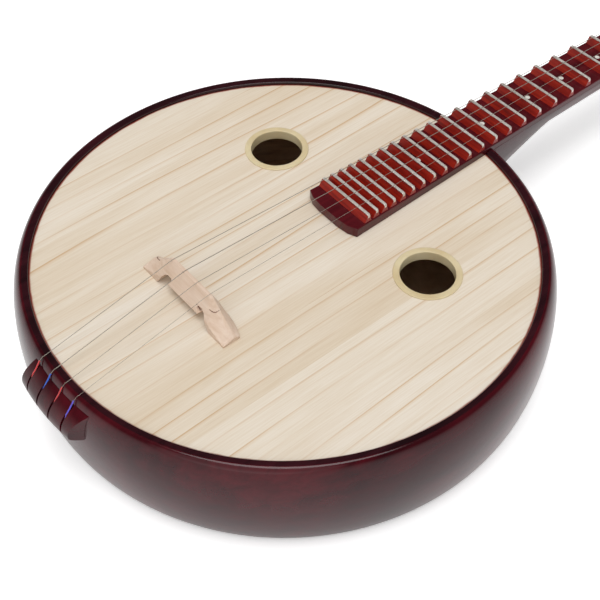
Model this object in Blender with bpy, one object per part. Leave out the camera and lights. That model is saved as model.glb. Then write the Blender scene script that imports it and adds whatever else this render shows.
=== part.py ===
"""A four-string zhongruan: a round hollow body with a paulownia soundboard, a fretted neck and a pegbox.

Metres, +Z up. The origin is the middle of the flat back, and +X runs along the neck to the head.
"""

import math

import bmesh
import bpy
from mathutils import Vector

# Body
GAP = 0.0003
BODY_DEPTH = 0.100
BOARD_RADIUS = 0.2130
BOARD_THICKNESS = 0.0035
BACK_THICKNESS = 0.005
RIM_LIP = 0.0055
CREST_RADIUS = BOARD_RADIUS + RIM_LIP
CREST_HEIGHT = 0.0036
CREST_WIDTH = 0.0030
BELLY_RADIUS = CREST_RADIUS + 0.0120
BELLY_DROP = 0.436 * BODY_DEPTH
BACK_RADIUS = CREST_RADIUS - 0.0030
WALL = 0.007
ROUND_STEPS = 72

# Sound holes and the parts inside the body
HOLE_X = 0.3286 * BOARD_RADIUS
HOLE_Y = 0.4648 * BOARD_RADIUS
HOLE_RADIUS = 0.0232
HOLE_RING_WIDTH = 0.0058
HOLE_RING_DEPTH = 0.0080
HOLE_RING_PROUD = 0.0012
HOLE_STEPS = 32
BRACE_WIDTH = 0.009
BRACE_HEIGHT = 0.011
BRACE_REACH = 0.775 * BOARD_RADIUS
UPPER_BRACE_X = 0.704 * BOARD_RADIUS
LOWER_BRACE_X = -0.141 * BOARD_RADIUS
BACK_BRACE_X = 0.094 * BOARD_RADIUS
SOUND_POST_X = -0.352 * BOARD_RADIUS
SOUND_POST_RADIUS = 0.0045
BLOCK_LENGTH = 0.030
BLOCK_WIDTH = 0.070

# Strings, frets and fretboard
STRING_LENGTH = 0.630
BRIDGE_LINE_X = -0.4272 * BOARD_RADIUS
FRET_COUNT = 24
NUT_X = BRIDGE_LINE_X + STRING_LENGTH
LAST_FRET_X = BRIDGE_LINE_X + STRING_LENGTH * 2 ** (-FRET_COUNT / 12)
FRET_TOP_AT_LAST = 0.0172
NECK_FALL = 0.018
FRET_HEIGHT = 0.0078
FRET_CAP = 0.0032
FRET_CAP_THICKNESS = 0.0012
FRET_FOOT_FRONT = 0.0048
FRET_FOOT_BACK = 0.0028
LAST_FRET_HALF_WIDTH = 0.0300
TAPER = 0.0212
FRETBOARD_EDGE = 0.0008
FRETBOARD_ON_NECK = 0.006
FRETBOARD_TIP_X = LAST_FRET_X - 0.0190
TIP_CLIP = 0.0050
TIP_BOW = 0.0014
TIP_BEVEL = 0.0012
FRETBOARD_BEVEL = 0.0005
NUT_THICKNESS = 0.005

# Bridge: a saddle crest on a beam that clears the board, with hollows that curl up beside two feet
SADDLE_X = BRIDGE_LINE_X - 0.0036
SADDLE_HEIGHT = 0.0281
SADDLE_HALF_LENGTH = 0.0255
BRIDGE_TOP_DEPTH = 0.0026
BRIDGE_HALF_LENGTH = 0.0548
BRIDGE_FRONT = SADDLE_X - 0.0119
BRIDGE_BACK = SADDLE_X + 0.0111
BRIDGE_FRONT_LEAN = 0.0098
BRIDGE_END_DRAW = 0.0068
BRIDGE_END_HEIGHT = 0.0065
BRIDGE_BACK_HEIGHT = 0.0030
FOOT_EDGE_HEIGHT = 0.0140
FOOT_EDGE_END = 0.0020
BEAM_UNDER = 0.0095
HOLLOW_REACH = 0.0350
HOLLOW_TOP = 0.0157

# Tailpiece: a half-round block on the side, sawn for the strings
TAILPIECE_HALF_LENGTH = 0.0344
TAILPIECE_NEAR_FLARE = 0.0047
TAILPIECE_FAR_FLARE = 0.0008
TAILPIECE_SHIFT = -0.0032
TAILPIECE_TOP = -0.0010
TAILPIECE_HEIGHT = 0.0300
TAILPIECE_BELLY_DROP = 0.0240
TAILPIECE_SLOPE = 0.0180
TAILPIECE_UNDERCUT = 0.0160
TAILPIECE_SLOPE_STEPS = 9
TAILPIECE_UNDERCUT_STEPS = 5
TAILPIECE_STANDOFF = 0.0097
TAILPIECE_OUT = -(BELLY_RADIUS + TAILPIECE_STANDOFF)
TAILPIECE_SEAT = TAILPIECE_OUT + 0.0177
TAILPIECE_ROOT = -(BACK_RADIUS - 0.0075)
KERF_WIDTH = 0.0018
KERF_BOTTOM = -0.024

# Strings
STRING_RADIUS = 0.0003
SADDLE_SPACING = 0.0160
NUT_SPACING = 0.0093
TAIL_SPACING = 0.0162
STRING_OVER_FRETS_AT_NUT = 0.0012
STRING_OVER_CREST = 0.0005

# Neck and heel
NECK_DEPTH = 0.021
NECK_ROOT_X = BACK_RADIUS - 0.0035
HEEL_END_X = BELLY_RADIUS + 0.0745
HEEL_SLOPE = 0.075
HEEL_STATIONS = 7
HEEL_EXTRA = 0.47 * BODY_DEPTH

# Pegbox, in its own slanted frame: U along the head, W up out of its face
HEAD_TILT = math.radians(12.0)
PEGBOX_LENGTH = 0.150
PEGBOX_HALF_WIDTH = 0.0240
PEGBOX_DEPTH = 0.029
TROUGH_START = 0.010
TROUGH_END = 0.136
TROUGH_HALF_WIDTH = 0.0135
TROUGH_DEPTH = 0.021

# Tuners
NEAR_POSTS_U = (0.030, 0.055)
FAR_POSTS_U = (0.085, 0.110)
NEAR_POST_Y = 0.0075
FAR_POST_Y = 0.0040
POST_RADIUS = 0.0025
POST_TOP = -0.0020
WHEEL_RADIUS = 0.0045
WHEEL_THICKNESS = 0.0045
WORM_RADIUS = 0.0022
WORM_DROP = 0.0150
SHAFT_RADIUS = 0.0018
KNOB_RADIUS = 0.0085
KNOB_LENGTH = 0.026
KNOB_STANDOFF = 0.0015
WINDING_DROP = 0.0060
WINDING_PITCH = 0.0013
WINDING_TURNS = 2
WINDING_STEPS = 24

# Head ornament
ORNAMENT_LENGTH = 0.066
ORNAMENT_HALF_WIDTH = 0.031
ORNAMENT_THICKNESS = 0.014


def material(name, colour, roughness, metallic=0.0):
    """A Principled material."""
    made = bpy.data.materials.get(name)
    if made is None:
        made = bpy.data.materials.new(name)
        made.use_nodes = True
        shader = made.node_tree.nodes["Principled BSDF"]
        shader.inputs["Base Color"].default_value = (*colour, 1.0)
        shader.inputs["Roughness"].default_value = roughness
        shader.inputs["Metallic"].default_value = metallic
    return made


def lacquer():
    return material("maroon_lacquered_wood", (0.045, 0.004, 0.006), 0.2)


def bare_wood():
    return material("pale_inner_wood", (0.55, 0.40, 0.24), 0.7)


def steel():
    return material("nickel_plated_steel", (0.6, 0.6, 0.58), 0.3, 1.0)


def to_object(name, mesh_data, finish, sharp=35.0):
    """Links a bmesh as a named object with one material, shaded smooth up to an angle."""
    bmesh.ops.recalc_face_normals(mesh_data, faces=mesh_data.faces)
    mesh = bpy.data.meshes.new(name)
    mesh_data.to_mesh(mesh)
    mesh_data.free()
    mesh.shade_smooth()
    mesh.set_sharp_from_angle(angle=math.radians(sharp))
    mesh.materials.append(finish)
    made = bpy.data.objects.new(name, mesh)
    bpy.context.scene.collection.objects.link(made)
    return made


def turned(profile, steps):
    """A closed profile of (radius, height) points turned round Z; points on the axis close it."""
    made = bmesh.new()
    rings = []
    for radius, height in profile:
        if radius < 1e-9:
            rings.append([made.verts.new((0.0, 0.0, height))])
            continue
        ring = []
        for step in range(steps):
            turn = 2 * math.pi * step / steps
            ring.append(made.verts.new((radius * math.cos(turn), radius * math.sin(turn), height)))
        rings.append(ring)
    for index, ring in enumerate(rings):
        after = rings[(index + 1) % len(rings)]
        if len(ring) == 1 and len(after) == 1:
            continue
        for step in range(steps):
            along = (step + 1) % steps
            corners = [ring[step % len(ring)], ring[along % len(ring)]]
            corners += [after[along % len(after)], after[step % len(after)]]
            unique = list(dict.fromkeys(corners))
            made.faces.new(unique)
    return made


def lofted(sections):
    """Closed sections of equal length joined in a row, with closed ends."""
    made = bmesh.new()
    rings = [[made.verts.new(point) for point in section] for section in sections]
    for before, after in zip(rings, rings[1:]):
        for index in range(len(before)):
            along = (index + 1) % len(before)
            made.faces.new((before[index], before[along], after[along], after[index]))
    made.faces.new(reversed(rings[0]))
    made.faces.new(rings[-1])
    bmesh.ops.triangulate(made, faces=made.faces)
    return made


def boxed(low, high):
    """A box between two corners."""
    sections = []
    for x in (low[0], high[0]):
        sections.append([(x, low[1], low[2]), (x, high[1], low[2]), (x, high[1], high[2]), (x, low[1], high[2])])
    return lofted(sections)


def cut(body, cutter_mesh, name):
    """Takes a shape out of an object with a live Boolean."""
    cutter = to_object(name, cutter_mesh, lacquer())
    cutter.hide_render = True
    cutter.display_type = "WIRE"
    modifier = body.modifiers.new(name, "BOOLEAN")
    modifier.operation = "DIFFERENCE"
    modifier.object = cutter
    return cutter


def in_world(x, y, height_over_board):
    """A point given by its height over the soundboard's face."""
    return (x, y, BODY_DEPTH + height_over_board)


def side_radius(drop):
    """The side's outer radius at a drop below the soundboard's face: two elliptical quarters."""
    if drop < BELLY_DROP:
        share = (BELLY_DROP - drop) / (BELLY_DROP + CREST_HEIGHT)
        return CREST_RADIUS + (BELLY_RADIUS - CREST_RADIUS) * math.sqrt(max(0.0, 1 - share**2))
    share = (drop - BELLY_DROP) / (BODY_DEPTH - BELLY_DROP)
    return BACK_RADIUS + (BELLY_RADIUS - BACK_RADIUS) * math.sqrt(max(0.0, 1 - share**2))


def side_profile(top_drop, bottom_drop, count, grow=0.0):
    """Points down the outer side between two drops, closer together where it turns in."""
    points = []
    for step in range(count + 1):
        share = 0.5 - 0.5 * math.cos(math.pi * step / count)
        drop = top_drop + (bottom_drop - top_drop) * share
        points.append((side_radius(drop) + grow, BODY_DEPTH - drop))
    return points


def fret_x(number):
    return BRIDGE_LINE_X + STRING_LENGTH * 2 ** (-number / 12)


def half_width(x):
    """Half the frets' length at a place along the neck."""
    return LAST_FRET_HALF_WIDTH - TAPER * (x - LAST_FRET_X)


def fret_top(x):
    """Height of the fret tops over the soundboard's face."""
    return FRET_TOP_AT_LAST - NECK_FALL * (x - LAST_FRET_X)


def board_top(x):
    """Height of the fretboard's face over the soundboard's face."""
    return fret_top(x) - FRET_HEIGHT


def head_point(u, y, w):
    """A point in the pegbox's slanted frame."""
    start = NUT_X + NUT_THICKNESS
    x = start + u * math.cos(HEAD_TILT) + w * math.sin(HEAD_TILT)
    height = board_top(start) - u * math.sin(HEAD_TILT) + w * math.cos(HEAD_TILT)
    return in_world(x, y, height)


def make_body():
    """Side, back, rim, soundboard and hole rings."""
    ledge = BOARD_THICKNESS + GAP
    outer = side_profile(ledge + GAP, BODY_DEPTH - BACK_THICKNESS - GAP, 9)
    inner_drops = (0.88, 0.55, 0.25, 0.08)
    inner = [(side_radius(BODY_DEPTH * share) - WALL, BODY_DEPTH * (1 - share)) for share in inner_drops]
    bottom_in = (outer[-1][0] - WALL - 0.004, outer[-1][1])
    top_in = (BOARD_RADIUS - WALL, outer[0][1])
    to_object("side_shell", turned(outer + [bottom_in] + inner + [top_in], ROUND_STEPS), lacquer())

    back = [(0.0, 0.0)] + [(r, z) for r, z in reversed(side_profile(BODY_DEPTH - BACK_THICKNESS, BODY_DEPTH, 3))]
    to_object("back_board", turned(back + [(0.0, BACK_THICKNESS)], ROUND_STEPS), lacquer())

    roll = side_profile(-CREST_HEIGHT, ledge, 5)
    inside = BOARD_RADIUS + GAP
    crest_in = CREST_RADIUS - CREST_WIDTH
    rim = [(inside, BODY_DEPTH - ledge), (inside, BODY_DEPTH + CREST_HEIGHT * 0.55)]
    rim += [(crest_in - 0.0012, BODY_DEPTH + CREST_HEIGHT * 0.9), (crest_in, BODY_DEPTH + CREST_HEIGHT)]
    ring = to_object("rim_binding", turned(rim + roll, ROUND_STEPS), lacquer())
    wide = half_width(BOARD_RADIUS) + FRETBOARD_EDGE + GAP
    notch = boxed((BOARD_RADIUS - 0.02, -wide, BODY_DEPTH), (BELLY_RADIUS + 0.02, wide, BODY_DEPTH + 0.02))
    cut(ring, notch, "rim_notch_cutter")

    pale = material("paulownia", (0.72, 0.60, 0.43), 0.55)
    disc = [(0.0, BODY_DEPTH - BOARD_THICKNESS), (BOARD_RADIUS, BODY_DEPTH - BOARD_THICKNESS)]
    disc += [(BOARD_RADIUS, BODY_DEPTH), (0.0, BODY_DEPTH)]
    board = to_object("soundboard", turned(disc, ROUND_STEPS), pale)
    ivory = material("ivory_coloured_plastic", (0.80, 0.68, 0.40), 0.35)
    for side, name in ((1, "left"), (-1, "right")):
        place = Vector((HOLE_X, side * HOLE_Y, 0.0))
        bore = HOLE_RADIUS + HOLE_RING_WIDTH * 0.4
        low, high = BODY_DEPTH - 0.02, BODY_DEPTH + 0.02
        drill = turned([(0.0, low), (bore + GAP, low), (bore + GAP, high), (0.0, high)], HOLE_STEPS)
        bmesh.ops.translate(drill, verts=drill.verts, vec=place)
        cut(board, drill, "sound_hole_cutter_" + name)
        wide = HOLE_RADIUS + HOLE_RING_WIDTH
        top, seat = BODY_DEPTH + HOLE_RING_PROUD, BODY_DEPTH + GAP
        lining = [(HOLE_RADIUS, BODY_DEPTH - HOLE_RING_DEPTH), (bore, BODY_DEPTH - HOLE_RING_DEPTH), (bore, seat)]
        lining += [(wide, seat), (wide, seat + 0.0004), (wide - 0.0012, top), (HOLE_RADIUS + 0.0006, top)]
        lining += [(HOLE_RADIUS, top - 0.0004)]
        tube = turned(lining, HOLE_STEPS)
        bmesh.ops.translate(tube, verts=tube.verts, vec=place)
        to_object("sound_hole_ring_" + name, tube, ivory)


def make_inner_parts():
    """Braces, end blocks and the sound post, all inside the closed body."""
    under = BODY_DEPTH - BOARD_THICKNESS - GAP
    over = BACK_THICKNESS + GAP
    braces = (
        ("upper_soundboard_brace", UPPER_BRACE_X, under - BRACE_HEIGHT, under),
        ("lower_soundboard_brace", LOWER_BRACE_X, under - BRACE_HEIGHT, under),
        ("back_brace", BACK_BRACE_X, over, over + BRACE_HEIGHT),
    )
    for name, x, low, high in braces:
        reach = min(BRACE_REACH, math.sqrt((BOARD_RADIUS - 2 * WALL) ** 2 - (abs(x) + BRACE_WIDTH) ** 2))
        half = BRACE_WIDTH / 2
        to_object(name, boxed((x - half, -reach, low), (x + half, reach, high)), bare_wood())
    post = turned([(0.0, over), (SOUND_POST_RADIUS, over), (SOUND_POST_RADIUS, under), (0.0, under)], 16)
    bmesh.ops.translate(post, verts=post.verts, vec=(SOUND_POST_X, 0.0, 0.0))
    to_object("sound_post", post, material("spruce", (0.62, 0.46, 0.27), 0.7))
    half = BLOCK_WIDTH / 2
    reach = math.sqrt((BACK_RADIUS - WALL - 0.004) ** 2 - half**2) - 0.001
    for name, side in (("neck_block", 1), ("tail_block", -1)):
        ends = sorted((side * reach, side * (reach - BLOCK_LENGTH)))
        to_object(name, boxed((ends[0], -half, over), (ends[1], half, under)), bare_wood())


def body_cutter():
    """The body's outer form with the usual gap, for what is fitted against it."""
    outer = side_profile(-CREST_HEIGHT, BODY_DEPTH, 14, GAP)
    profile = [(0.0, BODY_DEPTH + CREST_HEIGHT)] + outer + [(0.0, 0.0)]
    return turned(profile, ROUND_STEPS)


def neck_section(x, height, tilt, half, depth, power, count=11):
    """A neck section: flat on top, with a round or squarer belly below."""
    points = [(0.0, -half, 0.0), (0.0, half, 0.0)]
    for step in range(1, count):
        turn = math.pi * step / count
        across = math.copysign(abs(math.cos(turn)) ** (2 / power), math.cos(turn))
        down = math.sin(turn) ** (2 / power)
        points.append((0.0, half * across, -depth * down - 0.0015))
    made = []
    for _, y, w in points:
        made.append(in_world(x + w * math.sin(tilt), y, height + w * math.cos(tilt)))
    return made


def make_neck():
    """Neck, heel and pegbox in one piece of wood, and the fretboard on it."""
    sections = []
    joint_x = BELLY_RADIUS - 0.005

    def fretboard_under(x):
        if x <= joint_x:
            return GAP
        return min(GAP, board_top(x) - FRETBOARD_ON_NECK)

    nut_back = NUT_X + NUT_THICKNESS - 0.0002
    heel = [NECK_ROOT_X + (HEEL_END_X - NECK_ROOT_X) * step / HEEL_STATIONS for step in range(HEEL_STATIONS + 1)]
    shaft = [HEEL_END_X + (nut_back - HEEL_END_X) * share for share in (0.3, 0.6, 1.0)]
    for x in heel + shaft:
        along = max(0.0, (HEEL_END_X - x) / HEEL_SLOPE)
        depth = NECK_DEPTH + HEEL_EXTRA * min(1.15, along) ** 1.15
        width = half_width(x) + FRETBOARD_EDGE
        height = fretboard_under(max(x, joint_x + 0.0001)) - GAP
        sections.append(neck_section(x, min(height, -GAP), 0.0, width, depth, 2.2))
    pegbox = (
        (0.0001, 0.0205, NECK_DEPTH + 0.006, 2.6, 0.0),
        (0.012, PEGBOX_HALF_WIDTH, PEGBOX_DEPTH - 0.003, 5.0, 1.0),
        (0.030, PEGBOX_HALF_WIDTH, PEGBOX_DEPTH, 6.0, 1.0),
        (0.110, PEGBOX_HALF_WIDTH - 0.001, PEGBOX_DEPTH, 6.0, 1.0),
        (PEGBOX_LENGTH - 0.006, PEGBOX_HALF_WIDTH - 0.002, PEGBOX_DEPTH - 0.004, 5.0, 1.0),
        (PEGBOX_LENGTH, PEGBOX_HALF_WIDTH - 0.005, PEGBOX_DEPTH - 0.008, 4.0, 1.0),
    )
    for u, width, depth, power, lean in pegbox:
        x, _, z = head_point(u, 0.0, 0.0)
        sections.append(neck_section(x, z - BODY_DEPTH, HEAD_TILT * lean, width, depth, power))
    neck = to_object("neck_and_pegbox", lofted(sections), lacquer())
    cut(neck, body_cutter(), "heel_cutter")

    trough = []
    for u in (TROUGH_START, TROUGH_END):
        wide = TROUGH_HALF_WIDTH
        corners = ((-wide, -TROUGH_DEPTH), (wide, -TROUGH_DEPTH), (wide, 0.01), (-wide, 0.01))
        trough.append([head_point(u, y, w) for y, w in corners])
    cut(neck, lofted(trough), "string_trough_cutter")
    for number, (u, side) in enumerate(shaft_places(), 1):
        hole = round_bar(SHAFT_RADIUS + GAP, TROUGH_HALF_WIDTH - 0.001, PEGBOX_HALF_WIDTH + 0.01, u, side)
        cut(neck, hole, f"shaft_hole_cutter_{number}")

    full = half_width(FRETBOARD_TIP_X) + FRETBOARD_EDGE
    tip = ((0.0, 0.4 * full, TIP_BEVEL), (TIP_BOW, 0.74 * full, TIP_BEVEL), (TIP_CLIP, full, FRETBOARD_BEVEL))
    places = [(FRETBOARD_TIP_X + step, wide, tuck) for step, wide, tuck in tip]
    for x in (joint_x, joint_x + 0.0004, NUT_X - GAP):
        places.append((x, half_width(x) + FRETBOARD_EDGE, FRETBOARD_BEVEL))
    sections = []
    for x, wide, tuck in places:
        top = board_top(x)
        low = fretboard_under(x)
        ridge = [(x, -wide, low), (x, wide, low), (x, wide, top - 0.0008), (x, wide - tuck, top)]
        ridge += [(x, -wide + tuck, top), (x, -wide, top - 0.0008)]
        sections.append([in_world(*point) for point in ridge])
    dark = material("dark_red_fretboard_wood", (0.10, 0.008, 0.012), 0.25)
    to_object("fretboard", lofted(sections), dark)


def make_frets():
    """Tall wooden frets, each with a flat cap, spaced by the twelve-tone rule."""
    red = material("red_fret_wood", (0.35, 0.03, 0.02), 0.3)
    for number in range(1, FRET_COUNT + 1):
        x = fret_x(number)
        top = fret_top(x)
        low = board_top(x) + GAP
        lean = NECK_FALL
        cap = FRET_CAP / 2
        shoulder = top - FRET_CAP_THICKNESS
        outline = [(-FRET_FOOT_FRONT, low + lean * FRET_FOOT_FRONT), (FRET_FOOT_BACK, low)]
        outline += [(cap, shoulder), (cap * 0.8, top), (-cap * 0.8, top), (-cap, shoulder)]
        sections = []
        ends = (-half_width(x), half_width(x))
        for y in ends:
            sections.append([in_world(x + along, y, height) for along, height in outline])
        to_object(f"fret_{number:02d}", lofted(sections), red)


def string_y(index, spacing):
    """Strings are numbered from the far side, +Y, to the near side."""
    return (1.5 - index) * spacing


def make_nut_and_bridge():
    """Nut, floating bridge and the tailpiece with its saw kerfs."""
    bone = material("bone", (0.80, 0.74, 0.60), 0.35)
    top = fret_top(NUT_X) + STRING_OVER_FRETS_AT_NUT - STRING_RADIUS - GAP
    low = board_top(NUT_X) - FRETBOARD_ON_NECK
    back = NUT_THICKNESS - 0.0002 - GAP
    wide = half_width(NUT_X) + FRETBOARD_EDGE
    sections = []
    for y in (-wide, wide):
        corners = ((0.0, low), (back, low), (back, top - 0.0030), (0.0022, top), (0.0, top))
        sections.append([in_world(NUT_X + along, y, height) for along, height in corners])
    to_object("nut", lofted(sections), bone)

    maple = material("maple", (0.72, 0.50, 0.34), 0.5)
    bridge = to_object("bridge", lofted([bridge_section(y) for y in bridge_stations()]), maple)
    cut(bridge, bridge_hollow(), "bridge_hollow_cutter")

    block = to_object("tailpiece", lofted(tailpiece_sections()), lacquer())
    cut(block, body_cutter(), "tailpiece_seat_cutter")
    for index in range(4):
        y = string_y(index, TAIL_SPACING)
        low = in_world(TAILPIECE_OUT - 0.01, y - KERF_WIDTH / 2, KERF_BOTTOM)
        high = in_world(TAILPIECE_SEAT, y + KERF_WIDTH / 2, 0.01)
        cut(block, boxed(low, high), f"kerf_cutter_{index + 1}")


def bridge_stations():
    """Places along the bridge, closer together where its top falls from the saddle to the feet."""
    run = BRIDGE_HALF_LENGTH - SADDLE_HALF_LENGTH
    shares = (0.0, 0.04, 0.10, 0.18, 0.28, 0.40, 0.52, 0.64, 0.76, 0.88, 0.96, 1.0)
    half = [SADDLE_HALF_LENGTH + run * share for share in shares]
    return [-y for y in reversed(half)] + half


def bridge_front(height):
    """The front face's place at a height: nearly upright to the beam's lower edge, then leaning back."""
    if height < BEAM_UNDER:
        return BRIDGE_FRONT + 0.0008 * height / BEAM_UNDER
    return BRIDGE_FRONT + 0.0008 + BRIDGE_FRONT_LEAN * (height - BEAM_UNDER) / (SADDLE_HEIGHT - BEAM_UNDER)


def bridge_section(y):
    """The bridge cut across. Past the saddle its front edge falls faster than its ridge."""
    share = max(0.0, abs(y) - SADDLE_HALF_LENGTH) / (BRIDGE_HALF_LENGTH - SADDLE_HALF_LENGTH)
    top = BRIDGE_END_HEIGHT + (SADDLE_HEIGHT - BRIDGE_END_HEIGHT) * (1 - share) ** 1.2
    edge = FOOT_EDGE_END + (FOOT_EDGE_HEIGHT - FOOT_EDGE_END) * (1 - share) ** 1.6
    near_saddle = max(0.0, 1 - share / 0.10)
    edge += (0.98 * SADDLE_HEIGHT - edge) * near_saddle**2
    end = max(0.0, (share - 0.88) / 0.12)
    top -= 0.0025 * end**2
    ridge = SADDLE_X - 0.0014 * share
    half = BRIDGE_TOP_DEPTH / 2
    back = BRIDGE_BACK - BRIDGE_END_DRAW * share**2
    low = min(BEAM_UNDER, 0.8 * edge)
    back_low = min(BRIDGE_BACK_HEIGHT, 0.6 * top)
    points = [(BRIDGE_FRONT, GAP), (bridge_front(low), low), (bridge_front(edge), edge)]
    points += [(ridge - half, top), (ridge + half, top)]
    points += [((ridge + half + back) / 2 + 0.0004, (top + back_low) / 2 + 0.0006), (back, back_low), (back, GAP)]
    return [in_world(x, y, z) for x, z in points]


def bridge_hollow():
    """The space under the beam, which curls up into a rounded hollow beside each foot."""
    reach, top = HOLLOW_REACH, HOLLOW_TOP
    half = [(reach + 0.0005, -0.005), (reach, GAP), (reach - 0.0035, 0.38 * top), (reach - 0.0060, 0.67 * top)]
    half += [(reach - 0.0088, 0.89 * top), (reach - 0.0125, top), (reach - 0.0165, 0.985 * top)]
    half += [(reach - 0.0180, 0.86 * top), (reach - 0.0165, 0.71 * top), (reach - 0.0145, BEAM_UNDER)]
    outline = half + [(-y, z) for y, z in reversed(half)]
    faces = []
    for x in (SADDLE_X - 0.03, SADDLE_X + 0.03):
        faces.append([in_world(x, y, z) for y, z in outline])
    return lofted(faces)


def tailpiece_profile():
    """The block's section as (x, height): a bulging slope down to its belly, then a quarter round under it."""
    points = [(TAILPIECE_ROOT, TAILPIECE_TOP)]
    for step in range(TAILPIECE_SLOPE_STEPS + 1):
        share = step / TAILPIECE_SLOPE_STEPS
        x = TAILPIECE_OUT + TAILPIECE_SLOPE * (1 - share) ** 2.3
        points.append((x, TAILPIECE_TOP - TAILPIECE_BELLY_DROP * share))
    for step in range(1, TAILPIECE_UNDERCUT_STEPS + 1):
        turn = 0.5 * math.pi * step / TAILPIECE_UNDERCUT_STEPS
        drop = TAILPIECE_BELLY_DROP + (TAILPIECE_HEIGHT - TAILPIECE_BELLY_DROP) * math.sin(turn)
        points.append((TAILPIECE_OUT + TAILPIECE_UNDERCUT * (1 - math.cos(turn)), TAILPIECE_TOP - drop))
    return points + [(TAILPIECE_ROOT, TAILPIECE_TOP - TAILPIECE_HEIGHT)]


def tailpiece_sections():
    """Both ends of the block, slanted so that it is longest at the body, the near one more."""
    sections = []
    for side, flare in ((-1, TAILPIECE_NEAR_FLARE), (1, TAILPIECE_FAR_FLARE)):
        section = []
        for x, z in tailpiece_profile():
            reach = TAILPIECE_HALF_LENGTH + flare * (x - TAILPIECE_OUT) / (TAILPIECE_SEAT - TAILPIECE_OUT)
            section.append(in_world(x, TAILPIECE_SHIFT + side * reach, z))
        sections.append(section)
    return sections


def post_places():
    """Post centres (U, Y) for strings 1 to 4, far side first, and the side its string passes."""
    near_left, near_right = NEAR_POSTS_U
    far_left, far_right = FAR_POSTS_U
    return (
        (near_left, NEAR_POST_Y, 1),
        (far_left, FAR_POST_Y, -1),
        (far_right, -FAR_POST_Y, 1),
        (near_right, -NEAR_POST_Y, -1),
    )


def shaft_places():
    """Worm shafts (U, side of the head) for strings 1 to 4."""
    reach = WHEEL_RADIUS + WORM_RADIUS + GAP
    places = []
    for u, y, _ in post_places():
        places.append((u + reach, 1 if y > 0 else -1))
    return places


def round_bar(radius, start, end, u, side, steps=14):
    """A bar across the head at the worms' level, between two distances from its middle."""
    sections = []
    for across in (start, end):
        section = []
        for step in range(steps):
            turn = 2 * math.pi * step / steps
            place = head_point(u + radius * math.cos(turn), side * across, -WORM_DROP + radius * math.sin(turn))
            section.append(place)
        sections.append(section)
    return lofted(sections)


def make_tuners():
    """Four worm keys through the cheeks, and four upright string posts with their wheels."""
    black = material("black_peg_wood", (0.03, 0.02, 0.02), 0.3)
    for number, (u, side) in enumerate(shaft_places(), 1):
        knob_start = PEGBOX_HALF_WIDTH + KNOB_STANDOFF
        inner_end = -TROUGH_HALF_WIDTH + 0.001
        rings = ((inner_end, WORM_RADIUS), (TROUGH_HALF_WIDTH - 0.001, WORM_RADIUS))
        rings += ((TROUGH_HALF_WIDTH - 0.001, SHAFT_RADIUS), (knob_start, SHAFT_RADIUS), (knob_start, 0.0060))
        rings += ((knob_start + 0.003, 0.0048), (knob_start + 0.010, 0.0070))
        rings += ((knob_start + KNOB_LENGTH * 0.75, KNOB_RADIUS), (knob_start + KNOB_LENGTH - 0.002, KNOB_RADIUS))
        rings += ((knob_start + KNOB_LENGTH, KNOB_RADIUS * 0.6),)
        sections = []
        for across, radius in rings:
            section = []
            for step in range(14):
                turn = 2 * math.pi * step / 14
                along, up = radius * math.cos(turn), radius * math.sin(turn)
                section.append(head_point(u + along, side * across, -WORM_DROP + up))
            sections.append(section)
        key = to_object(f"tuning_key_{number}", lofted(sections), black)
        set_origin(key, head_point(u, side * knob_start, -WORM_DROP))
    for number, (u, y, _) in enumerate(post_places(), 1):
        low = -TROUGH_DEPTH + GAP
        middle = -WORM_DROP
        rings = ((low, POST_RADIUS), (middle - WHEEL_THICKNESS / 2, POST_RADIUS))
        rings += ((middle - WHEEL_THICKNESS / 2, WHEEL_RADIUS), (middle + WHEEL_THICKNESS / 2, WHEEL_RADIUS))
        rings += ((middle + WHEEL_THICKNESS / 2, POST_RADIUS), (POST_TOP, POST_RADIUS))
        sections = []
        for w, radius in rings:
            section = []
            for step in range(16):
                turn = 2 * math.pi * step / 16
                section.append(head_point(u + radius * math.cos(turn), y + radius * math.sin(turn), w))
            sections.append(section)
        post = to_object(f"string_post_{number}", lofted(sections), steel())
        set_origin(post, head_point(u, y, middle))


def set_origin(body, place):
    """Moves an object's origin to its joint's axis without moving its shape."""
    offset = Vector(place)
    for vertex in body.data.vertices:
        vertex.co -= offset
    body.location = offset


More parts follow.
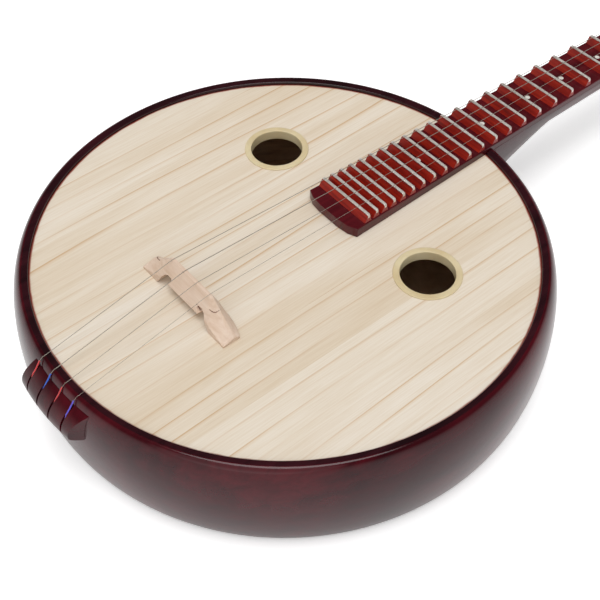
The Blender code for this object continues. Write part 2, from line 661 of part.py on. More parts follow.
def string_route(index):
    """A string from the tailpiece's kerf over rim, bridge and nut to its winding on the post."""
    tail = string_y(index, TAIL_SPACING)
    saddle = string_y(index, SADDLE_SPACING)
    nut = string_y(index, NUT_SPACING)
    over_saddle = SADDLE_HEIGHT + GAP + STRING_RADIUS
    over_nut = fret_top(NUT_X) + STRING_OVER_FRETS_AT_NUT
    over_crest = CREST_HEIGHT + GAP + STRING_RADIUS + STRING_OVER_CREST
    points = [(TAILPIECE_OUT + 0.0079, tail, -0.0125), (TAILPIECE_OUT + 0.0092, tail, -0.0087)]
    points.append((TAILPIECE_OUT + 0.0129, tail, -0.0046))
    points += [(-CREST_RADIUS - 0.0042, tail, over_crest - 0.0026), (-CREST_RADIUS - 0.0012, tail, over_crest - 0.0004)]
    points += [(-CREST_RADIUS + 0.0022, tail, over_crest)]
    route = [in_world(*point) for point in points]
    route.append(in_world(SADDLE_X - BRIDGE_TOP_DEPTH / 2, saddle, over_saddle))
    route.append(in_world(SADDLE_X + BRIDGE_TOP_DEPTH / 2, saddle, over_saddle))
    for share in (0.33, 0.66):
        x = SADDLE_X + (NUT_X - SADDLE_X) * share
        y = saddle + (nut - saddle) * share
        route.append(in_world(x, y, over_saddle + (over_nut - over_saddle) * share))
    route.append(in_world(NUT_X, nut, over_nut))
    route.append(in_world(NUT_X + 0.0025, nut, over_nut - 0.0001))
    u, y, side = post_places()[index]
    radius = POST_RADIUS + GAP + STRING_RADIUS
    total = WINDING_TURNS * WINDING_STEPS
    for step in range(total + 1):
        turn = 2 * math.pi * step / WINDING_STEPS
        drop = WINDING_DROP + WINDING_PITCH * step / WINDING_STEPS
        route.append(head_point(u + radius * math.sin(turn), y + side * radius * math.cos(turn), -drop))
    return route


def make_strings():
    """Four strings of plain round wire; the windings' least gap to themselves is printed."""
    for index in range(4):
        curve = bpy.data.curves.new(f"string_{index + 1}", "CURVE")
        curve.dimensions = "3D"
        curve.bevel_depth = STRING_RADIUS
        curve.bevel_resolution = 1
        curve.use_fill_caps = True
        spline = curve.splines.new("POLY")
        route = string_route(index)
        spline.points.add(len(route) - 1)
        for point, place in zip(spline.points, route):
            point.co = (*place, 1.0)
        made = bpy.data.objects.new(f"string_{index + 1}", curve)
        curve.materials.append(steel())
        bpy.context.scene.collection.objects.link(made)
        wound = [Vector(place) for place in route[-(WINDING_TURNS * WINDING_STEPS + 1):]]
        least = 1.0
        for one in range(len(wound)):
            for other in range(one + WINDING_STEPS // 2, len(wound)):
                least = min(least, (wound[one] - wound[other]).length)
        print(f"string {index + 1}: least gap between turns {1000 * (least - 2 * STRING_RADIUS):.2f} mm")


def make_ornament():
    """A flat three-lobed cloud head on the end of the pegbox."""
    outline = [(0.0, -0.016), (0.010, -0.015)]
    lobes = (
        (0.024, -0.017, 0.0130, -150.0, 20.0),
        (0.046, 0.0, 0.0185, -75.0, 75.0),
        (0.024, 0.017, 0.0130, -20.0, 150.0),
    )
    scale_u = ORNAMENT_LENGTH / 0.0645
    scale_y = ORNAMENT_HALF_WIDTH / 0.030
    for u, y, radius, start, end in lobes:
        for step in range(7):
            turn = math.radians(start + (end - start) * step / 6)
            outline.append((u + radius * math.cos(turn), y + radius * math.sin(turn)))
    outline += [(0.010, 0.015), (0.0, 0.016)]
    faces = []
    for w, shrink in ((-0.003 - ORNAMENT_THICKNESS, 0.90), (-0.005 - 0.6 * ORNAMENT_THICKNESS, 1.0),
                      (-0.006, 1.0), (-0.004, 0.93)):
        face = []
        for u, y in outline:
            middle = 0.030
            along = PEGBOX_LENGTH + GAP + max(0.0, middle + (u - middle) * (shrink if u > middle else 1.0)) * scale_u
            face.append(head_point(along, y * scale_y * shrink, w))
        faces.append(face)
    to_object("head_ornament", lofted(faces), lacquer())


for old in list(bpy.data.objects):
    bpy.data.objects.remove(old, do_unlink=True)
make_body()
make_inner_parts()
make_neck()
make_frets()
make_nut_and_bridge()
make_tuners()
make_strings()
make_ornament()
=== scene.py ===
import math

import bmesh
import bpy
from mathutils import Matrix, Vector


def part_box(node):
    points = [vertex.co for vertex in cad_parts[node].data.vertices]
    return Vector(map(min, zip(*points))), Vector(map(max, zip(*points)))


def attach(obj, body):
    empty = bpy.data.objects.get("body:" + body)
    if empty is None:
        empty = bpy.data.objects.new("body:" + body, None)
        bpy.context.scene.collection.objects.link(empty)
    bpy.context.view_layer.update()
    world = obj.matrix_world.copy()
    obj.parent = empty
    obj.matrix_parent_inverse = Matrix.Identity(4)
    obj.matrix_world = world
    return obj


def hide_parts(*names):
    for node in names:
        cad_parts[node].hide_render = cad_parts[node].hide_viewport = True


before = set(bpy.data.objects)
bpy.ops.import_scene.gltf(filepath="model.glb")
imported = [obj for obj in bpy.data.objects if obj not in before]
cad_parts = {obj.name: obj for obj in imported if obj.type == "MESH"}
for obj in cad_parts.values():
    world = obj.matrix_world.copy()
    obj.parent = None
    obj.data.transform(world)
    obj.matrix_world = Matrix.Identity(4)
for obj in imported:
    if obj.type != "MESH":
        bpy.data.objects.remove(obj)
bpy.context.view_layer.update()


# The side of the body is a ring of rosewood, bent and turned to a soft belly. It is closed with a deep
# maroon gloss lacquer that shows a trace of the grain, and it is left bare inside. The bare wood inside is
# painted a light tan, well lighter than rosewood: painted light for the dim inside of the body.
def srgb(code):
    """A hex colour as linear red, green, blue and alpha."""
    channels = [int(code[place : place + 2], 16) / 255 for place in (1, 3, 5)]
    return [c / 12.92 if c <= 0.04045 else ((c + 0.055) / 1.055) ** 2.4 for c in channels] + [1.0]


def add(tree, kind, inputs=None, stops=(), **settings):
    """Adds a node. Inputs take values or another node's output, and a ramp takes stops of hex colours."""
    made = tree.nodes.new(kind)
    for name, value in settings.items():
        setattr(made, name, value)
    for socket, value in (inputs or {}).items():
        if isinstance(value, bpy.types.NodeSocket):
            tree.links.new(value, made.inputs[socket])
        else:
            made.inputs[socket].default_value = value
    for number, (place, code) in enumerate(stops):
        points = made.color_ramp.elements
        point = points[number] if number < len(points) else points.new(1.0)
        point.position = place
        point.color = srgb(code)
    return made


def repeats(*sizes_mm):
    """How often patterns of these sizes fit in a metre."""
    counts = [1000.0 / size for size in sizes_mm]
    return counts if len(counts) > 1 else counts[0]


def new_material(name):
    """An empty material and its node tree, with the object's own coordinates."""
    made = bpy.data.materials.new(name)
    made.use_nodes = True
    made.node_tree.nodes.clear()
    place = add(made.node_tree, "ShaderNodeTexCoord").outputs["Object"]
    return made, made.node_tree, place


def close_material(tree, inputs, height, strength, depth):
    """Ends a tree with its shader, with a relief of the given strength and depth in metres."""
    relief = add(tree, "ShaderNodeBump", {"Height": height, "Strength": strength, "Distance": depth})
    shader = add(tree, "ShaderNodeBsdfPrincipled", {**inputs, "Normal": relief.outputs["Normal"]})
    add(tree, "ShaderNodeOutputMaterial", {"Surface": shader.outputs["BSDF"]})


def gloss_lacquer(name, dark, light, grain_mm=(167, 11, 11)):
    """Sprayed gloss lacquer over dark wood: the grain is a faint change of red under a nearly level skin."""
    made, tree, place = new_material(name)
    along = add(tree, "ShaderNodeMapping", {"Vector": place, "Scale": repeats(*grain_mm)})
    grain = add(tree, "ShaderNodeTexNoise", {"Vector": along.outputs["Vector"], "Scale": 1.0, "Detail": 5.0,
                                             "Roughness": 0.6, "Distortion": 0.4})
    cloud = add(tree, "ShaderNodeTexNoise", {"Vector": place, "Scale": repeats(110), "Detail": 2.0})
    both = add(tree, "ShaderNodeMath", {0: grain.outputs["Fac"], 1: cloud.outputs["Fac"]},
               operation="MULTIPLY")
    colour = add(tree, "ShaderNodeValToRGB", {"Fac": both.outputs[0]}, ((0.12, dark), (0.42, light)))
    ripple = add(tree, "ShaderNodeTexNoise", {"Vector": place, "Scale": repeats(7), "Detail": 1.0})
    rough = add(tree, "ShaderNodeMapRange", {"Value": cloud.outputs["Fac"], "To Min": 0.10, "To Max": 0.19})
    looks = {"Base Color": colour.outputs["Color"], "Roughness": rough.outputs["Result"], "IOR": 1.5,
             "Specular IOR Level": 0.3, "Coat Weight": 0.1, "Coat Roughness": 0.06}
    close_material(tree, looks, ripple.outputs["Fac"], 0.12, 0.0004)
    return made


def planed_wood(name, dark, light, grain_mm, roughness=0.72):
    """Planed wood with no finish: long soft grain and a dull face."""
    made, tree, place = new_material(name)
    along = add(tree, "ShaderNodeMapping", {"Vector": place, "Scale": repeats(*grain_mm)})
    grain = add(tree, "ShaderNodeTexNoise", {"Vector": along.outputs["Vector"], "Scale": 1.0, "Detail": 6.0,
                                             "Roughness": 0.55, "Distortion": 0.6})
    colour = add(tree, "ShaderNodeValToRGB", {"Fac": grain.outputs["Fac"]}, ((0.3, dark), (0.7, light)))
    looks = {"Base Color": colour.outputs["Color"], "Roughness": roughness}
    close_material(tree, looks, grain.outputs["Fac"], 0.25, 0.0003)
    return made


def piece(name, verts, faces, materials, pick=None, sharp=35.0, body="instrument"):
    """A mesh piece that rides on a body; pick gives each face its material slot."""
    data = bpy.data.meshes.new(name)
    data.from_pydata([tuple(v) for v in verts], [], faces)
    work = bmesh.new()
    work.from_mesh(data)
    bmesh.ops.remove_doubles(work, verts=work.verts, dist=1e-6)
    bmesh.ops.recalc_face_normals(work, faces=work.faces)
    for face in work.faces:
        face.material_index = pick(face) if pick else 0
    work.to_mesh(data)
    work.free()
    data.shade_smooth()
    data.set_sharp_from_angle(angle=math.radians(sharp))
    for finish in materials:
        data.materials.append(finish)
    made = bpy.data.objects.new(name, data)
    bpy.context.scene.collection.objects.link(made)
    if body:
        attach(made, body)
    return made


def turned(profile, steps, centre=(0.0, 0.0)):
    """A closed profile of (radius, height) turned round an upright axis."""
    verts, faces = [], []
    for radius, height in profile:
        for step in range(steps):
            turn = 2 * math.pi * step / steps
            verts.append((centre[0] + radius * math.cos(turn), centre[1] + radius * math.sin(turn), height))
    rows = len(profile)
    for row in range(rows):
        after = (row + 1) % rows
        for step in range(steps):
            a, b = row * steps, after * steps
            along = (step + 1) % steps
            faces.append((a + step, a + along, b + along, b + step))
    return verts, faces


board_low, board_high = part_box("soundboard")
side_low, side_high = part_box("side_shell")
board_face = board_high[2]
board_radius = board_high[0]
belly_radius = side_high[0]
belly_drop = 0.0436
belly_height = board_face - belly_drop
back_radius = 0.2155
crest_radius = 0.2185
crest_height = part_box("rim_binding")[1][2]
seam_height = side_high[2]
back_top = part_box("back_board")[1][2]
wall = 0.007
back_ledge = 0.004
inner_heights = (0.012, 0.03, 0.055, 0.08, 0.092)
outer_steps = 44
skin_depth = 0.002
round_steps = 256
near_axis = 0.0001


def side_radius(height):
    """The side's outer radius at a height: two quarters of an ellipse that meet at the belly."""
    if height > belly_height:
        share = (height - belly_height) / (crest_height - belly_height)
        return crest_radius + (belly_radius - crest_radius) * math.sqrt(max(0.0, 1 - share**2))
    share = (belly_height - height) / belly_height
    return back_radius + (belly_radius - back_radius) * math.sqrt(max(0.0, 1 - share**2))


def side_curve(top, bottom, count):
    """Points down the outer side between two heights."""
    points = []
    for step in range(count + 1):
        height = top + (bottom - top) * (0.5 - 0.5 * math.cos(math.pi * step / count))
        points.append((side_radius(height), height))
    return points


def is_outside(face):
    """Whether a face lies on the side's outer surface."""
    middle = face.calc_center_median()
    return middle.xy.length > side_radius(middle.z) - skin_depth


maroon_lacquer = gloss_lacquer("maroon_gloss_lacquer_on_rosewood", "#2a060c", "#4e0d17")
# The inside's tan is painted lighter than rosewood: painted light for the dim inside of the body.
inner_wood = planed_wood("planed_rosewood_painted_lighter", "#b08a68", "#d8b48e", (33, 33, 6))
outer = side_curve(seam_height, back_top, outer_steps)
inner = [(side_radius(height) - wall, height) for height in inner_heights]
inner = [(outer[-1][0] - wall - back_ledge, back_top)] + inner + [(board_radius - wall, seam_height)]
verts, faces = turned(outer + inner, round_steps)
side = piece("body_side", verts, faces, [maroon_lacquer, inner_wood],
             lambda face: 0 if is_outside(face) else 1)
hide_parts("side_shell")


# The rim stands a few millimetres proud of the soundboard and holds its edge. It is rosewood, lacquered
# nearly black, rolls over into the side, and is cut away where the fretboard crosses it.
rim_gap = 0.0002
rim_inner = board_radius + rim_gap
lip_round = 0.0011
lip_drop = 0.0007
crest_width = 0.0016
crest_drop = 0.0002
roll_edge = crest_radius - 0.0004
roll = side_curve(crest_height, seam_height, 14)
lip = []
for step in range(7):
    turn = math.pi * (1.0 - step / 12)
    middle = (rim_inner + lip_round, crest_height - lip_drop - lip_round)
    lip.append((middle[0] + lip_round * math.cos(turn), middle[1] + lip_round * math.sin(turn)))
profile = [(rim_inner, board_low[2])] + lip + [(crest_radius - crest_width, crest_height - crest_drop)] + roll
verts, faces = turned(profile + [(crest_radius, seam_height)], round_steps)
rim_lacquer = gloss_lacquer("black_red_gloss_lacquer_on_rosewood", "#1a080c", "#38131a")
rim = piece("rim", verts, faces, [rim_lacquer, maroon_lacquer],
            lambda face: 1 if face.calc_center_median().xy.length > roll_edge else 0, body=None)


def box_mesh(low, high):
    """The corners and faces of a box."""
    corners = [(x, y, z) for x in (low[0], high[0]) for y in (low[1], high[1]) for z in (low[2], high[2])]
    sides = [(0, 1, 3, 2), (4, 6, 7, 5), (0, 4, 5, 1), (2, 3, 7, 6), (0, 2, 6, 4), (1, 5, 7, 3)]
    return corners, sides


def bake(target):
    """Makes a piece's modifiers its plain mesh."""
    view = bpy.context.evaluated_depsgraph_get()
    data = bpy.data.meshes.new_from_object(target.evaluated_get(view))
    target.modifiers.clear()
    old = target.data
    target.data = data
    data.name = target.name
    bpy.data.meshes.remove(old)


def carve(target, cutter_mesh, name):
    """Cuts a shape out of a piece for good, and keeps its material."""
    data = bpy.data.meshes.new(name)
    data.from_pydata(cutter_mesh[0], [], cutter_mesh[1])
    work = bmesh.new()
    work.from_mesh(data)
    bmesh.ops.recalc_face_normals(work, faces=work.faces)
    work.to_mesh(data)
    work.free()
    cutter = bpy.data.objects.new(name, data)
    bpy.context.scene.collection.objects.link(cutter)
    modifier = target.modifiers.new(name, "BOOLEAN")
    modifier.operation = "DIFFERENCE"
    modifier.object = cutter
    bake(target)
    bpy.data.objects.remove(cutter)


notch_half = 0.0283
notch_low = (board_radius - 0.02, -notch_half, board_face)
notch_high = (0.25, notch_half, 0.12)
carve(rim, box_mesh(notch_low, notch_high), "fretboard_notch")
rim.data.set_sharp_from_angle(angle=math.radians(35))
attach(rim, "instrument")
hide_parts("rim_binding")


# The back is a flat board glued under the side. It is lacquered outside with the side, and left as planed
# within, where a little of it shows through the sound holes. Inside it has the same light tan as the side,
# which is painted light for the dim inside of the body.
under = side_curve(back_top, 0.0, 10)
verts, faces = turned([(near_axis, back_top)] + under + [(near_axis, 0.0)], round_steps)
back = piece("back", verts, faces, [maroon_lacquer, inner_wood], lambda face: 1 if face.normal.z > 0.9 else 0)
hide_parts("back_board")


# The soundboard is paulownia, jointed from planks that run with the neck and planed. It has no finish, so
# it is pale and dull, with thin brown growth lines, and stain from the rim has crept into its edge.
paulownia, tree, place = new_material("planed_paulownia_planks")
split = add(tree, "ShaderNodeSeparateXYZ", {"Vector": place})
plank_width = 0.0475
plank_start = 0.31
plank = add(tree, "ShaderNodeMath", {0: split.outputs["Y"], 1: 1 / plank_width, 2: plank_start},
            operation="MULTIPLY_ADD")
number = add(tree, "ShaderNodeMath", {0: plank.outputs[0]}, operation="FLOOR")
tone = add(tree, "ShaderNodeTexWhiteNoise", {"W": number.outputs[0]}, noise_dimensions="1D")
apart = add(tree, "ShaderNodeCombineXYZ", {"X": tone.outputs["Value"], "Z": number.outputs[0]})
shifted = add(tree, "ShaderNodeVectorMath", {0: place, 1: apart.outputs["Vector"]}, operation="ADD")

# Real fibres are finer than a tenth of a millimetre, so they are drawn as coarse as the render can show.
patterns = {}
for pattern, sizes_mm, detail, roughness, distortion in (
    ("sway", (900, 110, 140), 2.0, 0.4, 0.0),
    ("fading", (330, 26, 140), 1.0, 0.5, 0.0),
    ("broad", (625, 45, 140), 2.0, 0.5, 0.5),
    ("fibre", (38, 1.1, 17), 4.0, 0.6, 0.0),
):
    along = add(tree, "ShaderNodeMapping", {"Vector": shifted.outputs["Vector"],
                                            "Scale": repeats(*sizes_mm)})
    noise = add(tree, "ShaderNodeTexNoise", {"Vector": along.outputs["Vector"], "Scale": 1.0, "Detail": detail,
                                             "Roughness": roughness, "Distortion": distortion})
    patterns[pattern] = noise.outputs["Fac"]
ring_pitch = 0.0175
ring_sway = 3.2
spread = add(tree, "ShaderNodeMath", {0: patterns["sway"], 1: ring_sway}, operation="MULTIPLY")
rings = add(tree, "ShaderNodeMath", {0: split.outputs["Y"], 1: 1 / ring_pitch, 2: spread.outputs[0]},
            operation="MULTIPLY_ADD")
year = add(tree, "ShaderNodeMath", {0: rings.outputs[0]}, operation="FRACT")
growth = add(tree, "ShaderNodeValToRGB", {"Fac": year.outputs[0]},
             ((0.0, "#dccfbb"), (0.03, "#e5dccf"), (0.82, "#e5dccf"), (0.93, "#dfd0bc"), (1.0, "#c9a47b")))
fading = add(tree, "ShaderNodeMapRange", {"Value": patterns["fading"], "From Min": 0.40, "From Max": 0.56,
                                          "To Min": 0.18, "To Max": 1.0})
colour = add(tree, "ShaderNodeMix", {"Factor": fading.outputs["Result"], 6: srgb("#e5dccf"),
                                     7: growth.outputs["Color"]}, data_type="RGBA").outputs[2]
for pattern, share, stops in (
    (patterns["broad"], 1.0, ((0.36, "#f5efe6"), (0.58, "#ffffff"))),
    (patterns["fibre"], 0.8, ((0.30, "#f4eee5"), (0.62, "#ffffff"))),
    (tone.outputs["Value"], 1.0, ((0.0, "#fbf8f3"), (0.5, "#fffefd"), (1.0, "#fcf9f4"))),
):
    tint = add(tree, "ShaderNodeValToRGB", {"Fac": pattern}, stops)
    colour = add(tree, "ShaderNodeMix", {"Factor": share, 6: colour, 7: tint.outputs["Color"]},
                 data_type="RGBA", blend_type="MULTIPLY").outputs[2]
flat = add(tree, "ShaderNodeCombineXYZ", {"X": split.outputs["X"], "Y": split.outputs["Y"]})
from_middle = add(tree, "ShaderNodeVectorMath", {0: flat.outputs["Vector"]}, operation="LENGTH")
soak = add(tree, "ShaderNodeTexNoise", {"Vector": place, "Scale": repeats(17), "Detail": 4.0})
stain_sway = 0.0016
stain_width = 0.0012
edge = add(tree, "ShaderNodeMath", {0: soak.outputs["Fac"], 1: stain_sway, 2: from_middle.outputs["Value"]},
           operation="MULTIPLY_ADD")
stain = add(tree, "ShaderNodeMapRange", {"Value": edge.outputs[0], "From Min": rim_inner - stain_width,
                                         "From Max": rim_inner})
colour = add(tree, "ShaderNodeMix", {"Factor": stain.outputs["Result"], 6: colour, 7: srgb("#8a3424")},
             data_type="RGBA").outputs[2]
close_material(tree, {"Base Color": colour, "Roughness": 0.6}, patterns["fibre"], 0.25, 0.0003)


def disc_mesh(radius, low, high, steps, centre=(0.0, 0.0)):
    """A round plate between two heights."""
    edge = [(centre[0] + radius * math.cos(2 * math.pi * step / steps),
             centre[1] + radius * math.sin(2 * math.pi * step / steps)) for step in range(steps)]
    verts = [(x, y, low) for x, y in edge] + [(x, y, high) for x, y in edge]
    faces = [tuple(reversed(range(steps))), tuple(range(steps, 2 * steps))]
    faces += [(s, (s + 1) % steps, steps + (s + 1) % steps, steps + s) for s in range(steps)]
    return verts, faces


def ring_middle(name):
    """The centre of a ring round an upright axis, and half its width."""
    low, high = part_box(name)
    return ((low[0] + high[0]) / 2, (low[1] + high[1]) / 2), (high[0] - low[0]) / 2


hole_steps = 96
ring_flange = 0.0036
saw_low, saw_high = 0.08, 0.12
verts, faces = disc_mesh(board_radius, board_low[2], board_face, round_steps)
board = piece("soundboard_planks", verts, faces, [paulownia], body=None, sharp=20.0)
for ring_name in ("sound_hole_ring_left", "sound_hole_ring_right"):
    middle, half_width = ring_middle(ring_name)
    hole = disc_mesh(half_width - ring_flange, saw_low, saw_high, hole_steps, middle)
    carve(board, hole, "sound_hole_saw")
board.data.set_sharp_from_angle(angle=math.radians(20))
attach(board, "instrument")
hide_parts("soundboard")


# Each sound hole is lined with a ring of moulded cream plastic, pushed in from above so that its flange lies
# on the board. It is lightly polished, with a soft outer edge, and a little light sinks into it.
cream, tree, place = new_material("moulded_cream_abs")
mottle = add(tree, "ShaderNodeTexNoise", {"Vector": place, "Scale": repeats(22), "Detail": 3.0})
colour = add(tree, "ShaderNodeValToRGB", {"Fac": mottle.outputs["Fac"]}, ((0.3, "#cbb78e"), (0.7, "#d8c9a4")))
scuff = add(tree, "ShaderNodeTexNoise", {"Vector": place, "Scale": repeats(1.4), "Detail": 2.0})
looks = {"Base Color": colour.outputs["Color"], "Roughness": 0.34, "IOR": 1.46, "Subsurface Weight": 0.08,
         "Subsurface Radius": (0.002, 0.0015, 0.0008), "Subsurface Scale": 1.0}
close_material(tree, looks, scuff.outputs["Fac"], 0.06, 0.0002)
ring_wall = 0.0058
flange_seat = board_face + 0.00005
flange_inset = 0.0001
outer_round = 0.0011
outer_drop = 0.0009
outer_rise = 0.0008
crown_inset = 0.0030
inner_round = 0.0008
for side_name in ("left", "right"):
    low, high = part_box("sound_hole_ring_" + side_name)
    middle, wide = ring_middle("sound_hole_ring_" + side_name)
    bore = wide - ring_wall
    top = high[2]
    profile = [(bore, low[2]), (wide - ring_flange, low[2]), (wide - ring_flange, flange_seat)]
    profile += [(wide - flange_inset, flange_seat)]
    for step in range(6):
        turn = 0.5 * math.pi * step / 5
        out = wide - outer_round * (1 - math.cos(turn))
        profile.append((out, top - outer_drop + outer_rise * math.sin(turn)))
    profile.append((wide - crown_inset, top))
    for step in range(5):
        turn = 0.5 * math.pi * (1 + step / 4)
        out = bore + inner_round * (1 + math.cos(turn))
        profile.append((out, top - inner_round * (1 - math.sin(turn))))
    verts, faces = turned(profile, hole_steps, middle)
    ring = piece("hole_ring_" + side_name, verts, faces, [cream])
    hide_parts("sound_hole_ring_" + side_name)


# Inside the body are braces under the soundboard and on the back, end blocks and a sound post. They are
# planed paulownia with no finish, glued in, and seen only through the sound holes.
brace_wood = planed_wood("planed_paulownia_brace", "#a98a62", "#c9ad84", (6, 125, 6))
for name in ("upper_soundboard_brace", "lower_soundboard_brace", "back_brace", "neck_block", "tail_block",
             "sound_post"):
    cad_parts[name].data.materials.clear()
    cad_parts[name].data.materials.append(brace_wood)


# The neck, its heel and the open pegbox are carved from one length of rosewood. They are sanded round, glued
# to the body and lacquered with it.
def eased(target, sharp, bevel):
    """Rounds a piece's sharp edges and keeps its flat faces flat to the eye."""
    if bevel:
        rounding = target.modifiers.new("rounded_edges", "BEVEL")
        rounding.width = bevel
        rounding.segments = 2
        rounding.limit_method = "ANGLE"
        rounding.angle_limit = math.radians(sharp)
        bake(target)
    target.data.shade_smooth()
    target.data.set_sharp_from_angle(angle=math.radians(sharp))
    if bevel:
        level = target.modifiers.new("level_faces", "WEIGHTED_NORMAL")
        level.keep_sharp = True
        bake(target)


def dressed(node_name, name, finishes, sharp, bevel=0.0, body="instrument", settle=None, pick=None):
    """A merged copy of a CAD node with rounded edges, which stands for it; settle lowers its points."""
    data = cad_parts[node_name].data.copy()
    data.name = name
    work = bmesh.new()
    work.from_mesh(data)
    bmesh.ops.remove_doubles(work, verts=work.verts, dist=2e-6)
    bmesh.ops.dissolve_limit(work, angle_limit=math.radians(0.3), verts=work.verts, edges=work.edges)
    for vert in work.verts:
        vert.co.z -= settle(vert.co) if settle else 0.0
    for face in work.faces:
        face.material_index = pick(face) if pick else 0
    work.to_mesh(data)
    work.free()
    data.materials.clear()
    for finish in finishes:
        data.materials.append(finish)
    made = bpy.data.objects.new(name, data)
    bpy.context.scene.collection.objects.link(made)
    eased(made, sharp, bevel)
    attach(made, body)
    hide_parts(node_name)


dressed("neck_and_pegbox", "neck_wood", [maroon_lacquer], sharp=30.0)


# The fretboard is a tapered strip of dark hardwood, glued to the neck and over the soundboard. It is
# stained a deep wine red and lacquered, with shell dots let in between the frets.
last_fret_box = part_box("fret_24")
first_fret_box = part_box("fret_01")
string_length = 0.630
bridge_line = -0.0910
fret_height = 0.0078
glue_edge = 0.003
fit_gap = 0.00028


def fret_x(number):
    """A fret's place by the twelve-tone rule."""
    return bridge_line + string_length * 2 ** (-number / 12)


def along_frets(x, at_last, at_first):
    """A size that changes evenly from the last fret to the first."""
    share = (x - fret_x(24)) / (fret_x(1) - fret_x(24))
    return at_last + (at_first - at_last) * share


def fret_top(x):
    """The height of the frets' tops."""
    return along_frets(x, last_fret_box[1][2], first_fret_box[1][2])


def fret_half(x):
    """Half the frets' length."""
    return along_frets(x, last_fret_box[1][1], first_fret_box[1][1])


def fretboard_face(x):
    """The height of the fretboard's face."""
    return fret_top(x) - fret_height


fretboard_lacquer = gloss_lacquer("wine_red_gloss_lacquer_on_hardwood", "#3a0910", "#5e141c", (200, 8, 17))
dressed("fretboard", "fretboard_wood", [fretboard_lacquer], sharp=30.0, bevel=0.0006,
        settle=lambda place: fit_gap if place.z < fretboard_face(place.x) - glue_edge else 0.0)

# White shell, ground flat: a pale, uneven sheen under a polish.
shell, tree, place = new_material("ground_white_shell")
sheen = add(tree, "ShaderNodeTexNoise", {"Vector": place, "Scale": repeats(2), "Detail": 3.0,
                                         "Distortion": 1.5})
colour = add(tree, "ShaderNodeValToRGB", {"Fac": sheen.outputs["Fac"]},
             ((0.35, "#c9c6bd"), (0.65, "#efede6")))
looks = {"Base Color": colour.outputs["Color"], "Roughness": 0.22, "Coat Weight": 0.5, "Coat Roughness": 0.05}
close_material(tree, looks, sheen.outputs["Fac"], 0.05, 0.0001)
dot_radius = 0.0024
dot_proud = 0.00012
dot_depth = 0.0005
dot_steps = 28
verts, faces = [], []
for number in (5, 7, 9, 12, 17):
    x = (fret_x(number) + fret_x(number - 1)) / 2
    dot_verts, dot_faces = disc_mesh(dot_radius, -dot_depth, dot_proud, dot_steps, (x, 0.0))
    faces += [tuple(len(verts) + corner for corner in face) for face in dot_faces]
    verts += [(across, y, fretboard_face(across) + rise) for across, y, rise in dot_verts]
piece("inlay_dots", verts, faces, [shell])


# Each fret is a tall block of hardwood stained red and glued across the fretboard. A strip of nickel silver
# caps it, with its ends bent down over the wood.
fret_wood, tree, place = new_material("red_stained_hardwood")
along = add(tree, "ShaderNodeMapping", {"Vector": place, "Scale": repeats(2.4, 36, 2.4)})
grain = add(tree, "ShaderNodeTexNoise", {"Vector": along.outputs["Vector"], "Scale": 1.0, "Detail": 5.0,
                                         "Roughness": 0.6})
colour = add(tree, "ShaderNodeValToRGB", {"Fac": grain.outputs["Fac"]},
             ((0.25, "#5e100b"), (0.5, "#8e1c10"), (0.8, "#b03018")))
looks = {"Base Color": colour.outputs["Color"], "Roughness": 0.42, "Specular IOR Level": 0.3}
close_material(tree, looks, grain.outputs["Fac"], 0.2, 0.0002)
# The blocks' ends are end grain with open pores, and are given a lighter, pinker red than their faces.
fret_end, tree, place = new_material("red_stained_end_grain")
pores = add(tree, "ShaderNodeTexNoise", {"Vector": place, "Scale": repeats(0.7), "Detail": 2.0})
colour = add(tree, "ShaderNodeValToRGB", {"Fac": pores.outputs["Fac"]}, ((0.3, "#7c2420"), (0.7, "#a8403a")))
looks = {"Base Color": colour.outputs["Color"], "Roughness": 0.4}
close_material(tree, looks, pores.outputs["Fac"], 0.2, 0.0001)
strip_width = 0.0026
strip_thickness = 0.0012
front_foot = 0.0048
back_foot = 0.0028
foot_lift = 0.00005
cap_inset = 0.0001
front_break = (0.0004, 0.0009)
back_break = (0.0005, 0.0012)
end_inset = 0.0001
end_chamfer = 0.0006
end_taper = 0.964
neck_slope = (first_fret_box[1][2] - last_fret_box[1][2]) / (fret_x(1) - fret_x(24))
verts, faces = [], []
for number in range(1, 25):
    x = fret_x(number)
    low = fretboard_face(x)
    shoulder = fret_top(x) - strip_thickness
    half = fret_half(x) - end_inset
    cap = strip_width / 2 - cap_inset
    section = [(-front_foot, low - neck_slope * front_foot + foot_lift)]
    section += [(back_foot, low + neck_slope * back_foot)]
    section += [(cap + back_break[0], shoulder - back_break[1]), (cap, shoulder), (-cap, shoulder)]
    section += [(-cap - front_break[0], shoulder - front_break[1])]
    start = len(verts)
    flat_half = half - end_chamfer
    for y, squeeze in ((-half, end_taper), (-flat_half, 1.0), (flat_half, 1.0), (half, end_taper)):
        verts += [(x + out * squeeze, y, height) for out, height in section]
    count = len(section)
    for row in range(3):
        for corner in range(count):
            after = (corner + 1) % count
            a, b = start + row * count, start + (row + 1) * count
            faces.append((a + corner, a + after, b + after, b + corner))
    faces.append(tuple(start + corner for corner in reversed(range(count))))
    faces.append(tuple(start + 3 * count + corner for corner in range(count)))
blocks = piece("fret_blocks", verts, faces, [fret_wood, fret_end],
               lambda face: 1 if abs(face.normal.y) > 0.5 else 0, sharp=25.0)
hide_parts(*[f"fret_{number:02d}" for number in range(1, 25)])

